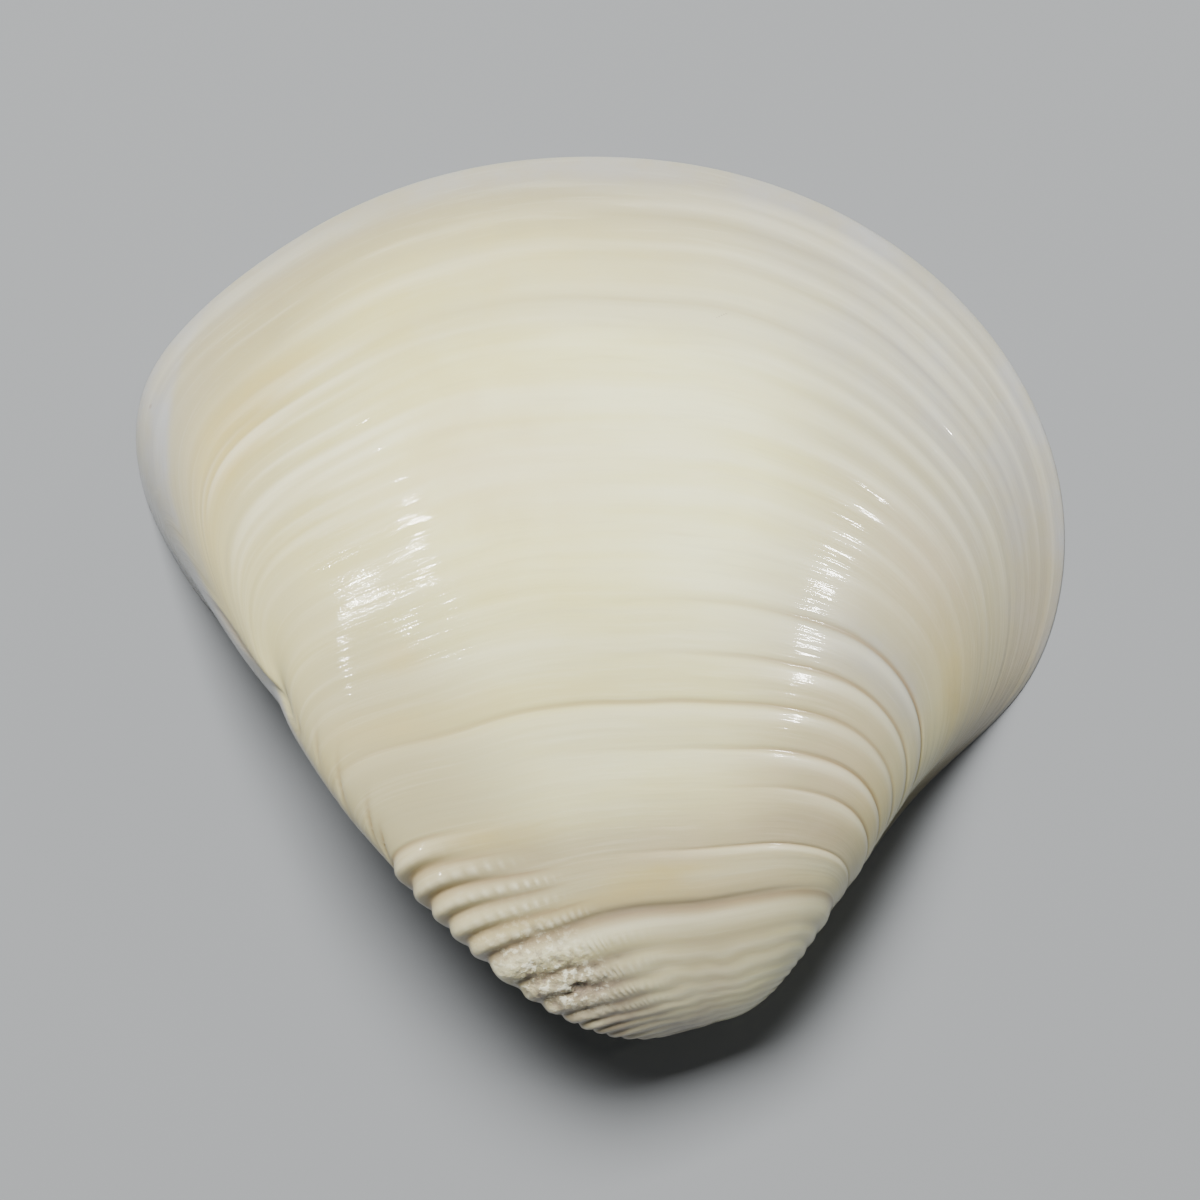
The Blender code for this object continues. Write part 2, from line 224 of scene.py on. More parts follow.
# The underside: flat lip, hinge plate, hollow and the marks in it.
underside = {
    "edgeRadius": 0.12,
    "lipWidth": 0.9,
    "rimWidth": 1.2,
    "plateWidth": 3.4,
    "platePlace": (-84, 30),
    "plateRecess": 0.6,
    "stepShare": 0.42,
    "hollowTip": (3.3, -11.53, 4.0),
    "hollowDoming": 0.60,
    "hollowLikeness": 0.7,
    "edgeThickening": (0.30, 0.35),
    "oldestAge": 3.2,
    "crenulationPitch": 3.0,  # degrees
    "crenulationDepth": 0.10,
    "teeth": ((2.4, 62, 1.6, 0.55), (2.1, 92, 1.9, 0.75), (2.3, 136, 2.7, 0.50)),
    "toothDrop": 0.54,
    "toothSides": (0.26, 0.62),  # shares of its width between which a tooth falls away
    "toothEnds": (0.36, 0.56),  # the same for its length
    "socket": (0.95, 0.22, 0.16),  # place and width against the tooth's width, and depth
    "lipShare": 0.3,  # share of the rings' count across that is lip
    "pallialLine": (3.4, 2.4, 150, 7),  # distance in from the rim, its notch's depth, direction, spread
    "scars": ((9.6, -1.6, 1.5, 2.6, -18), (-8.6, 2.6, 2.0, 1.7, 20)),  # middle, half lengths, turn
}

# The mesh: columns run round the valve and rings across it, closer where the relief is fine.
grid = {
    "columnsFrom": -104.5, "columnsTo": 254.5, "fineFrom": 138.0, "fineTo": 174.0,  # degrees
    "step": 1.5, "fineStep": 0.75,
    "outsideRings": 286, "edgeRings": 3, "lipRings": 5, "plateRings": 19, "hollowRings": 38,
    "crowding": ((0.6, 0.76, 0.85, 1.3, 2.2), (0.5, 0.09, 0.12, 0.29, 0.33)),  # amount and ages
    "stepCrowding": (2.2, 0.006, 0.012),  # amount, distance past a growth halt, and spread
}


# Closed cubic spline: the bends at the knots come from one linear system, and each span is a cubic.
def closedSpline(knots, values, where, period=360.0):
    count = len(knots)
    gaps = np.diff(np.append(knots, knots[0] + period))
    slopes = np.diff(np.append(values, values[0])) / gaps
    order = np.arange(count)
    system = np.zeros((count, count))
    system[order, order - 1] = gaps[order - 1]
    system[order, order] = 2 * (gaps[order - 1] + gaps)
    system[order, (order + 1) % count] = gaps
    bends = np.linalg.solve(system, 6 * (slopes - np.roll(slopes, 1)))
    place = (where - knots[0]) % period + knots[0]
    i = np.clip(np.searchsorted(knots, place, side="right") - 1, 0, count - 1)
    j = (i + 1) % count
    after = place - knots[i]
    before = gaps[i] - after
    curve = (bends[i] * before ** 3 + bends[j] * after ** 3) / (6 * gaps[i])
    return (curve + (values[i] / gaps[i] - bends[i] * gaps[i] / 6) * before
            + (values[j] / gaps[i] - bends[j] * gaps[i] / 6) * after)


# Degrees from one direction to another, between -180 and 180.
def turnFrom(middle, direction):
    return (direction - middle + 180) % 360 - 180


# Bell curve round a direction: exp(-half the square of the turn over the spread of that side).
def swell(direction, middle, spread, spreadAfter=None):
    away = turnFrom(middle, direction)
    width = np.where(away > 0, spread if spreadAfter is None else spreadAfter, spread)
    return np.exp(-0.5 * (away / width) ** 2)


# Smooth step: 0 below the first value, 1 above the second, and 3t^2 - 2t^3 between.
def easeStep(value, low, high):
    t = np.clip((value - low) / (high - low), 0, 1)
    return t * t * (3 - 2 * t)


# Bell curve: exp(-half the square of the distance over the width).
def bell(distance, width):
    return np.exp(-0.5 * (distance / width) ** 2)


# Sum of soft patches of colour: strength times a bell in direction times a bell in age.
def patches(direction, age, table):
    total = np.zeros_like(direction)
    for middle, spread, at, width, amount in table:
        total += amount * swell(direction, middle, spread) * bell(age - at, width)
    return total


# Distance from the rim's middle to the rim, by the closed spline.
def rimRadius(direction):
    knots = np.array(valveShape["rimOutline"], dtype=float)
    return closedSpline(knots[:, 0], knots[:, 1], direction)


# Swing of a stage about the hinge line: rate * age - slowing * age^2, held once it peaks.
def swingAngle(age):
    rate, slowing = valveShape["swingRate"], valveShape["swingSlowing"]
    held = np.minimum(age, rate / (2 * slowing))
    return rate * held - slowing * held ** 2


# A stage is the outline, shrunk by exp(-age) towards the tip and swung up about the hinge line through it.
def grow(outlineX, outlineY, age, tip, doming):
    size = np.exp(-age)
    tilt = np.radians(valveShape["hingeTilt"] + valveShape["hingeTiltChange"] * (1 - size))
    along = (outlineX - tip[0]) * np.cos(tilt) + (outlineY - tip[1]) * np.sin(tilt)
    across = (outlineY - tip[1]) * np.cos(tilt) - (outlineX - tip[0]) * np.sin(tilt)
    angle = swingAngle(age)
    u = size * (along + valveShape["slant"] * np.sin(angle) * across)
    v = size * (across * np.cos(angle) + tip[2] * np.sin(angle))
    z = tip[2] + size * (doming * across * np.sin(angle) - tip[2] * np.cos(angle))
    x = tip[0] + u * np.cos(tilt) - v * np.sin(tilt)
    y = tip[1] + u * np.sin(tilt) + v * np.cos(tilt)
    return np.stack([x, y, z], axis=-1)


# Outline of a stage: rim radius less an inset, plus the young outline's difference times 1 - exp(-age).
def outline(direction, age, inset, likeness):
    radius = rimRadius(direction) - inset
    young = likeness * (1 - np.exp(-age))
    for middle, amount, spread, spreadAfter in (valveShape["youngPoint"], valveShape["youngLowerEdge"]):
        radius = radius + young * amount * swell(direction, middle, spread, spreadAfter)
    turn = np.radians(direction)
    return (valveShape["rimMiddle"][0] + radius * np.cos(turn),
            valveShape["rimMiddle"][1] + radius * np.sin(turn))


# True age of a ring: its own age less the drift at the front and on the ribs, more by the keel,
# and a slow wobble, which is a sum of sine waves.
def driftedAge(direction, age):
    middle, spread, amount, full = lineDrift["front"]
    front = swell(direction, middle, spread)
    drift = amount * np.clip(age / full, 0, 1) * front
    ribbed = easeStep(age, *lineDrift["ribsAge"]) * (1 - easeStep(age, 1.8, 3.0))
    awayFromKeel = 1 - swell(direction, lineDrift["keel"][0], lineDrift["keel"][1], 60)
    drift = drift + ribbed * (lineDrift["ribsDrift"] * awayFromKeel + lineDrift["ribsFrontDrift"] * front)
    middle, reach, reachAfter, amount = lineDrift["back"]
    away = turnFrom(middle, direction)
    back = np.exp(-np.abs(away) / np.where(away > 0, reachAfter, reach))
    full, fadeFrom, fadeTo = lineDrift["backAges"]
    reached = easeStep(age, -full, full) * np.clip(age / full, 0, 1) * (1 - easeStep(age, fadeFrom, fadeTo))
    drift = drift - amount * back * reached
    turn = np.radians(direction)
    wobble = np.zeros_like(turn + age)
    for turns, phase, change, share in lineDrift["waves"]:
        wobble += share * np.sin(turns * turn + phase + change * age)
    return age - drift + lineDrift["wobble"] * wobble * np.clip(age / 0.08, 0, 1) * np.exp(-age)


# The outside without relief: the grown stage, with the oldest stages shifted to fill the beak.
def smoothOutside(direction, ringAge):
    age = driftedAge(direction, ringAge)
    x, y = outline(direction, age, 0, 1)
    place = grow(x, y, age, valveShape["beakTip"], valveShape["doming"])
    share = (1 - np.exp(-age)) ** valveShape["beakShiftPower"]
    place[..., 1:] += share[..., None] * np.array(valveShape["beakShift"])
    return place


# Distance grown since a stage, in millimetres: 30 * (1 - exp(-age)).
def growthDistance(age):
    return 30 * (1 - np.exp(-age))


# A growth halt across the rings: a bell-shaped groove, then the older lip, which rises by
# 1 - exp(-distance over the shoulder) and sinks away again by exp(-distance over the reach).
def haltProfile(age, at, groove, lip):
    t = (age - at) / stepProfile["width"]
    past = t - stepProfile["start"]
    rise = 1 - np.exp(-np.maximum(past, 0) / stepProfile["shoulder"])
    settle = np.exp(-np.maximum(t - stepProfile["level"], 0) / stepProfile["reach"])
    sink = np.where(past < 0, np.exp(np.minimum(past, 0) / stepProfile["reach"]), 1 - rise)
    hollow = stepProfile["grooveShare"] * groove * bell(t, stepProfile["grooveWidth"])
    return lip * (rise * settle - stepProfile["sink"] * sink * (1 - rise)) - hollow


# Many fine growth lines: each is a bell across the rings, within its own stretch of directions.
def fineLines(direction, age, draw, count, ages, middles, spreads, heights, widths):
    height = np.zeros_like(direction)
    at = draw.uniform(*ages, count)
    middle = draw.uniform(*middles, count)
    spread = draw.uniform(*spreads, count)
    tall = draw.uniform(*heights, count)
    width = draw.uniform(*widths, count)
    lean = draw.uniform(-0.0002, 0.0002, count)
    for i in range(count):
        away = turnFrom(middle[i], direction)
        height += tall[i] * bell(age - at[i] - lean[i] * away, width[i]) * bell(away, spread[i])
    return height


# Number of the rib at an age: whole on its crest, and a half more or less in the grooves beside it.
def ribNumber(age):
    grooves = np.array(ribs["grooves"])
    inside = np.interp(age, grooves, np.arange(len(grooves)) - 0.5)
    before = -0.5 + (age - grooves[0]) / (grooves[1] - grooves[0])
    after = len(grooves) - 1.5 + (age - grooves[-1]) / (grooves[-1] - grooves[-2])
    return np.where(age < grooves[0], before, np.where(age > grooves[-1], after, inside))


# How far each rib is there: full at the keel, and past its own end direction the first ribs fade.
def ribPlace(direction, number):
    count = len(ribs["uneven"])
    nearest = np.clip(np.round(number), 0, count - 1)
    ends = np.array(ribs["ends"] + (-75.0,) * (count - len(ribs["ends"])))
    end = ends[nearest.astype(int)]
    fade = np.where(nearest < len(ribs["ends"]), ribs["fade"], ribs["olderFade"])
    away = (direction + 104) % 360 - 104
    onset = 1 / (1 + np.exp(-np.clip((away - end) / fade, -30, 30)))
    beyond = 1 - easeStep(away, 168.0, 178.0)
    there = (number > -0.5) & (number < count - 0.5)
    return np.where(there, onset * beyond, 0)


# A rib across the rings: a steep sine-squared side towards the rim, a round crest, and a long slope.
def ribCrest(number):
    share = number - np.floor(number + 0.5) + 0.5  # 0 and 1 in the grooves, half on the crest
    steep = ribs["steepShare"]
    rising = np.sin(0.5 * np.pi * np.clip(share / (2 * steep), 0, 1)) ** 2
    falling = np.cos(0.5 * np.pi * np.clip((share - 2 * steep) / (1 - 2 * steep), 0, 1)) ** 1.3
    return np.where(share < 2 * steep, rising, falling)


# The ribs with their knobs, the deep groove over rib five and the beads: height, how brown each place is,
# the painted shade in the grooves, and where it is bleached, with a painted highlight on the lip below the
# deep groove.
# Rib heights fall by exp(-0.1 * number) towards the beak.
def ribRelief(direction, age):
    number = ribNumber(age)
    bent = 0.14 * np.sin(0.07 * direction + 5 * age) + 0.08 * np.sin(0.19 * direction + 13 * age)
    number = number + bent * easeStep(number, 5.2, 6.5) * (1 - swell(direction, 164, 10))
    place = ribPlace(direction, number)
    rib = ribCrest(number)
    lower = np.exp(-0.10 * np.maximum(number, 0)) * np.exp(0.8 - age) ** 0.3
    onKeel = swell(direction, *ribs["knob"])
    middle, spread, share = ribs["freshFirst"]
    firstOnes = share + (1 - share) * swell(direction, middle, spread)
    olderOnes = ribs["worn"] + (1 - ribs["worn"]) * swell(direction, *ribs["fresh"])
    middle, spread, share = ribs["freshFront"]
    olderOnes = np.maximum(olderOnes, share * swell(direction, middle, spread))
    strength = np.where(number < ribs["firstLast"], firstOnes, olderOnes)
    nearest = np.clip(np.round(number), 0, len(ribs["uneven"]) - 1).astype(int)
    strength = strength * np.array(ribs["uneven"])[nearest]
    height = place * rib * lower * (ribs["height"] * strength + ribs["knobHeight"] * onKeel)

    # The grooves between the ribs: brown, and darkened by painted shade.
    groove = place * (1 - rib) ** 2.5
    low = number < 4.8
    height -= 0.07 * groove * swell(direction, 164, 7)
    tint = groove * np.where(low, 0.7, 0.5 * swell(direction, 154, 10))
    shade = groove * np.where(low, 0.3, 0.25 + 0.5 * swell(direction, 150, 16))

    widest = swell(direction, *ribs["widest"])
    past = number - ribs["widestNumber"]
    height -= ribs["widestDepth"] * widest * bell(past, 0.15) * (0.4 + 0.6 * easeStep(direction, 0, 60))
    tint = np.maximum(tint, widest * bell(past + 0.02, 0.10) * (0.30 + 0.6 * swell(direction, 160, 14)))
    # Painted shade in and above the deep groove, and a painted highlight on the lip below it.
    dark = 0.55 * bell(past + 0.02, 0.12) + 0.30 * bell(past + 0.34, 0.30)
    shade += widest * easeStep(direction, 5, 50) * dark
    crest = 0.9 * widest * bell(past - 0.36, 0.10)

    beaded = swell(direction, *ribs["beads"]) * easeStep(age, 0.78, 0.84) * (1 - easeStep(age, 1.45, 1.7))
    pitch = 2 * np.pi * direction / ribs["beadPitch"]
    beads = np.cos(pitch + 2.2 * np.sin(9 * age) + 0.8 * np.sin(0.37 * direction + 31 * age))
    height += ribs["beadHeight"] * beaded * place * rib ** 3 * beads
    crest = np.maximum(crest, 1.3 * place * rib ** 4 * (0.35 + 0.65 * beads * beaded))
    return height, tint, shade, crest


# Depth of the pits and how rough the eroded patch is: each pit is a round bell on the growing shell.
def erodedRelief(direction, age, draw):
    middle, spread, spreadAfter, at, width = erosion["patch"]
    rough = np.clip(1.3 * swell(direction, middle, spread, spreadAfter) * bell(age - at, width), 0, 1)
    pits = np.zeros_like(direction)
    for i in range(erosion["pits"]):
        at = draw.normal(*erosion["pitAges"])
        where = draw.normal(*erosion["pitDirections"])
        size = draw.uniform(*erosion["pitSizes"])
        deep = draw.uniform(*erosion["pitDepths"])
        along = (direction - where) * math.radians(1) * 20 * math.exp(-at)
        across = (age - at) * 30 * math.exp(-at)
        pits += deep * np.exp(-0.5 * (along ** 2 + across ** 2) / size ** 2)
    where, alongScale, at, acrossScale = erosion["hole"]
    away = np.hypot((direction - where) * alongScale, (age - at) * acrossScale)
    hole = erosion["holeDepth"] * bell(away, erosion["holeSize"])
    return np.minimum(pits, erosion["deepest"]) + hole, rough


# All the relief of the outside in millimetres, with the masks that the colours follow: tint is brown in the
# grooves, with a painted shadow line in the keel's fold, shade is painted shade in and beside the grooves,
# pits and rough belong to the eroded patch, and crest is bleached, with painted light on the lit lips and
# the paler middle band.
def outsideRelief(direction, age):
    draw = np.random.default_rng(11)
    height = np.zeros_like(direction)
    tint = np.zeros_like(direction)
    lit = np.zeros_like(direction)
    width = stepProfile["width"]
    # Each halt: its groove and lip, a brown line in the groove, and a painted highlight (lit) on the lip
    # just past it.
    for at, groove, lip, middle, spread, spreadAfter, brown in growthSteps:
        place = swell(direction, middle, spread, spreadAfter)
        height += place * haltProfile(age, at, groove, lip)
        tint = np.maximum(tint, brown * place * bell(age - at, stepProfile["tintWidth"] * width))
        lit = np.maximum(lit, brown * place * bell(age - at - stepProfile["litPlace"] * width, width))

    ridges = np.zeros_like(direction)
    right = swell(direction, *frontStretch["place"])
    for at, tall, width, share in frontRidges:
        left = share + (1 - share) * easeStep(direction, *frontStretch["end"])
        ridges += tall * left * right * bell(age - at, width)
    for at, middle, spread, tall, width in backRidges:
        ridges += tall * swell(direction, middle, spread) * bell(age - at, width)
    for fineLineSet in fineLineSets:
        ridges += fineLines(direction, age, draw, *fineLineSet)
    ridges *= 1 - easeStep(direction, 160, 166) * easeStep(age, 0.06, 0.14)  # none past the keel
    ridges *= 0.5 + 0.5 * easeStep(direction, -5, 24)
    height += ridges
    # Crest: bleached on the fine ridges and tan in their furrows, with painted highlights on the lit lips
    # and painted light in the middle band.
    crest = np.clip(ridges / 0.04, -1, 1) + stepProfile["litShare"] * lit
    crest += patches(direction, age, stains["crest"])

    ribHeight, ribTint, shade, bleachedAndLit = ribRelief(direction, age)
    tint = np.maximum(tint, ribTint)
    crest = np.maximum(crest, bleachedAndLit)
    pits, rough = erodedRelief(direction, age, draw)
    height += ribHeight - pits

    for at, where, spread, deep, lean in cracks:
        away = turnFrom(where, direction)
        crack = bell(away, spread) * bell(age - at - lean * away, crackWidth)
        height -= deep * crack
        tint = np.maximum(tint, crackTint * deep * crack)
    for middle, spread, at, width, tall in keelShapes:
        height += tall * swell(direction, middle, spread) * bell(age - at, width)
    # The fold's tint is a painted shadow line under the keel's edge.
    along = easeStep(age, *keelFold["starts"]) * (1 - easeStep(age, *keelFold["ends"]))
    leaning = keelFold["direction"] - keelFold["lean"] * (age - keelFold["from"])
    fold = bell(direction - leaning, keelFold["width"]) * along
    height -= keelFold["depth"] * fold
    tint = np.maximum(tint, keelFold["tint"] * fold)
    fade = np.clip(age / 0.03, 0, 1)
    masks = {"tint": tint, "pits": pits / erosion["fullDepth"], "rough": rough, "crest": crest}
    return height * fade, shade, masks


# Ages of the rings: evenly spread along the growth distance, and closer at the grooves and the ribs.
def outsideAges():
    fine = np.linspace(0, valveShape["oldestAge"], 6000)
    crowd = np.ones_like(fine)
    for amount, start, full, fading, gone in grid["crowding"]:
        crowd += amount * easeStep(fine, start, full) * (1 - easeStep(fine, fading, gone))
    amount, past, spread = grid["stepCrowding"]
    for at, *rest in growthSteps[1:]:
        crowd += amount * bell(fine - at - past, spread)
    weight = (30 * np.exp(-fine) + 1.0) * crowd
    total = np.concatenate([[0], np.cumsum(0.5 * (weight[1:] + weight[:-1]))])
    return np.interp(np.linspace(0, total[-1], grid["outsideRings"]), total, fine)


# Directions of the columns: an even step, and half of it along the keel.
def columnDirections():
    before = np.arange(grid["columnsFrom"], grid["fineFrom"], grid["step"])
    close = np.arange(grid["fineFrom"], grid["fineTo"], grid["fineStep"])
    after = np.arange(grid["fineTo"], grid["columnsTo"], grid["step"])
    return np.concatenate([before, close, after])


# Each direction, and the one halfway to the next.
def halfwayBetween(directions):
    following = np.append(directions[1:], directions[0] + 360)
    return np.stack([directions, (directions + following) / 2], axis=1).ravel()


# Outward unit normals: the cross product of the surface's slopes along the rings and along the columns.
def outsideNormals(direction, age):
    small = 1e-4
    along = smoothOutside(direction + small, age) - smoothOutside(direction - small, age)
    inward = smoothOutside(direction, age + small) - smoothOutside(direction, age - small)
    normal = np.cross(along, inward)
    return normal / np.maximum(np.linalg.norm(normal, axis=-1, keepdims=True), 1e-15)


# How far a place is on the hinge plate: 1 under the beak and 0 along the open edge.
def underBeak(direction):
    return swell(direction, *underside["platePlace"])


# Height of the hinge teeth: each is a ridge with steep sides, along its own direction from the beak's tip,
# with a socket on both sides.
def hingeTeeth(place):
    drop = np.zeros(place.shape[:-1])
    sides, ends = np.array(underside["toothSides"]), np.array(underside["toothEnds"])
    beside, socketWidth, socketDepth = underside["socket"]
    for distance, direction, length, width in underside["teeth"]:
        turn = math.radians(direction)
        x = place[..., 0] - valveShape["beakTip"][0] - distance * math.cos(turn)
        y = place[..., 1] - valveShape["beakTip"][1] - distance * math.sin(turn)
        along = np.abs(x * math.cos(turn) + y * math.sin(turn))
        across = np.abs(y * math.cos(turn) - x * math.sin(turn))
        ridge = (1 - easeStep(across, *(sides * width))) * (1 - easeStep(along, *(ends * length)))
        socket = bell(across - beside * width, socketWidth * width)
        socket = socket * (1 - easeStep(along, 0.35 * length, 0.60 * length))
        drop = np.maximum(drop, underside["toothDrop"] * ridge) - socketDepth * socket * (1 - ridge)
    return drop


# Width of the lip and the plate together: the rim's, and up to the plate's under the beak.
def flatWidth(plate):
    return underside["rimWidth"] + (underside["plateWidth"] - underside["rimWidth"]) * plate


# The lip and the hinge plate: across, 0 is the outer edge of the lip and 1 the inner edge of the plate.
def lipAndPlate(direction, across):
    plate = underBeak(direction)
    width = flatWidth(plate)
    lip = underside["lipWidth"]
    radius, share = underside["edgeRadius"], underside["lipShare"]
    inset = np.where(across < share, radius + across / share * (lip - radius),
                     lip + (across - share) / (1 - share) * (width - lip))
    x, y = outline(direction, 0, inset, 0)
    stepEnd = lip + underside["stepShare"] * (width - lip)
    z = underside["plateRecess"] * plate * easeStep(inset, lip, stepEnd)
    place = np.stack([x, y, z], axis=-1)
    teeth = hingeTeeth(place) * easeStep(across, 0.32, 0.5) * easeStep(1.02 - across, 0, 0.1)
    openEdge = easeStep(direction, -50, -30) * (1 - easeStep(direction, 150, 166))
    ridges = 0.5 - 0.5 * np.cos(2 * np.pi * direction / underside["crenulationPitch"])
    crenulated = underside["crenulationDepth"] * openEdge * ridges * easeStep(inset, 0.45, 1.0)
    ligament = (1 - easeStep(np.abs(direction + 128), 16, 27)) * bell(inset - 0.62, 0.14)
    place[..., 2] += np.maximum(crenulated + 0.22 * ligament - teeth, -place[..., 2])
    return place


# The hollow: the plate's inner edge grown towards the hollow's own tip, lower near the rim.
def hollow(direction, age):
    plate = underBeak(direction)
    x, y = outline(direction, age, flatWidth(plate), underside["hollowLikeness"])
    place = grow(x, y, age, underside["hollowTip"], underside["hollowDoming"])
    share, reach = underside["edgeThickening"]
    place[..., 2] *= 1 - share * np.exp(-age / reach)
    place[..., 2] += underside["plateRecess"] * plate * np.exp(-age)
    return place


# Marks in the hollow: distance in from the rim gives the pallial line, and two ovals the muscle scars.
def hollowMarks(place):
    x = place[..., 0] - valveShape["rimMiddle"][0]
    y = place[..., 1] - valveShape["rimMiddle"][1]
    direction = np.degrees(np.arctan2(y, x))
    inset = rimRadius(direction) - np.hypot(x, y)
    base, notch, middle, spread = underside["pallialLine"]
    along = easeStep(direction, -28, -12) * (1 - easeStep(direction, 158, 170))
    past = inset - base - notch * swell(direction, middle, spread)
    line = bell(past, 0.16) * along
    within = easeStep(past, -0.1, 0.3) * along
    scar = np.zeros_like(line)
    edge = np.zeros_like(line)
    for middleX, middleY, halfX, halfY, turn in underside["scars"]:
        c, s = math.cos(math.radians(turn)), math.sin(math.radians(turn))
        u = ((place[..., 0] - middleX) * c + (place[..., 1] - middleY) * s) / halfX
        v = ((place[..., 1] - middleY) * c - (place[..., 0] - middleX) * s) / halfY
        reach = np.hypot(u, v)
        scar = np.maximum(scar, 1 - easeStep(reach, 0.86, 1.04))
        edge = np.maximum(edge, bell(reach - 1, 0.07))
    return line, within, scar, edge


# One ring of face corners between two rings of the same count.
def bandFaces(first, second, count):
    i = np.arange(count)
    j = (i + 1) % count
    return np.stack([first + j, first + i, second + i, second + j], axis=1)


# Three triangles join each span of a coarse ring to two spans of a fine ring.
def splitFaces(coarse, fine, count, coarseFirst):
    i = np.arange(count)
    j = (i + 1) % count
    a, b = coarse + i, coarse + j
    p, q, r = fine + 2 * i, fine + 2 * i + 1, fine + 2 * j
    if coarseFirst:
        parts = ((b, a, q), (q, a, p), (r, b, q))
    else:
        parts = ((q, p, a), (r, q, b), (b, q, a))
    return np.concatenate([np.stack(part, axis=1) for part in parts])


# Puts arrays of points, faces and point values into a smooth mesh object.
def surfaceObject(name, points, quads, triangles, values):
    mesh = bpy.data.meshes.new(name)
    mesh.from_pydata(points, [], quads.tolist() + triangles.tolist())
    mesh.validate()
    mesh.shade_smooth()
    for title, value in values.items():
        kind, field = ("FLOAT_VECTOR", "vector") if value.ndim == 2 else ("FLOAT", "value")
        layer = mesh.attributes.new(title, kind, "POINT")
        layer.data.foreach_set(field, value.astype(np.float32).ravel())
    made = bpy.data.objects.new(name, mesh)
    bpy.context.scene.collection.objects.link(made)
    return made


# Where the outside is stained tan, bluish, pinkish or straw-coloured, where grime and painted shade darken
# it, and where painted shade dulls it or painted light pales it: the soft patches, with smooth steps for the
# rim, the escutcheon, the back end, the beak and the front.
def outsideColours(direction, age):
    tan, blue, pink, straw, dullAndPaintedShade = [patches(direction, age, stains[name])
                                    for name in ("tan", "blue", "pink", "straw", "dullAndPaintedShade")]
    older = easeStep(age, 0.40, 0.60)
    blue += 0.6 * (1 - easeStep(age, 0.010, 0.040))
    blue += easeStep(direction, 168.0, 170.0) * (1 - older)
    blue += easeStep(direction, 177, 186) * older * (1 - easeStep(age, 0.9, 1.7))
    limit = 0.060 * easeStep(direction, 146, 163)
    behindKeel = (1 - easeStep(age, limit - 0.012, limit + 0.010)) * easeStep(direction, 144, 154)
    blue += behindKeel * (1 - older)

    # Grime and painted shade towards the beak, where the valve turns away from the light, and by the keel.
    grimeAndPaintedShade = 0.75 * easeStep(age, 1.30, 2.0) * swell(direction, 150, 36, 60)
    grimeAndPaintedShade += 0.90 * easeStep(age, 1.10, 1.35) * swell(direction, 161, 14)

    # Painted shade: a darker tone everywhere, more at the rim, at the front and back ends and over the band
    # of the first ribs, and less towards the beak.
    away = (direction + 104) % 360 - 104
    beforeRibs = 1 - easeStep(age, 0.80, 0.95)
    atFront = (1 - easeStep(away, 28, 68)) * (1 - easeStep(-away, -14, 14) * easeStep(age, 0.22, 0.34))
    dullAndPaintedShade += 0.42 + 0.50 * atFront * beforeRibs + 0.50 * easeStep(away, 128, 158) * beforeRibs
    dullAndPaintedShade += 0.62 * (1 - easeStep(age, 0.02, 0.15)) - 0.45 * easeStep(age, 1.4, 1.7)
    dullAndPaintedShade += 0.45 * easeStep(age, 0.77, 0.87) * (1 - easeStep(age, 1.08, 1.18))
    masks = {"tan": tan, "blue": blue, "pink": pink, "straw": straw, "grimeAndPaintedShade": grimeAndPaintedShade, "dullAndPaintedShade": dullAndPaintedShade}
    return {title: np.clip(mask, 0, 1) for title, mask in masks.items()}


